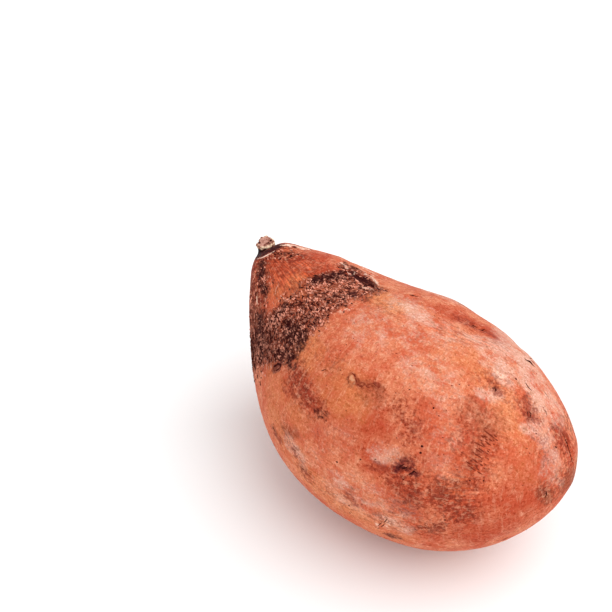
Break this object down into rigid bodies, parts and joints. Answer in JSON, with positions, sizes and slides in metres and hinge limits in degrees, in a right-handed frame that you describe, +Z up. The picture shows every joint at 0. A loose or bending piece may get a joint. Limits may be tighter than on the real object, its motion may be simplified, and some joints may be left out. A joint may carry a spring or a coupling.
{
  "type": "sweet potato",
  "caption": "Stout raw sweet potato with a narrow crown, cut vine stub, scurfy patched terracotta skin and a blunt root end, lying on its belly.",
  "frame": {"origin": "on the surface it rests on, under the middle of its bounding box", "axes": "+X along the root from the crown to the root tail, +Z up"},
  "size_m": [0.1354, 0.0804, 0.0809],
  "materials": {
    "skin": "dry raw root skin, satin, with scurf and scars"
  },
  "bodies": {
    "root": {"sweet_potato": "skin"}
  },
  "joints": []
}
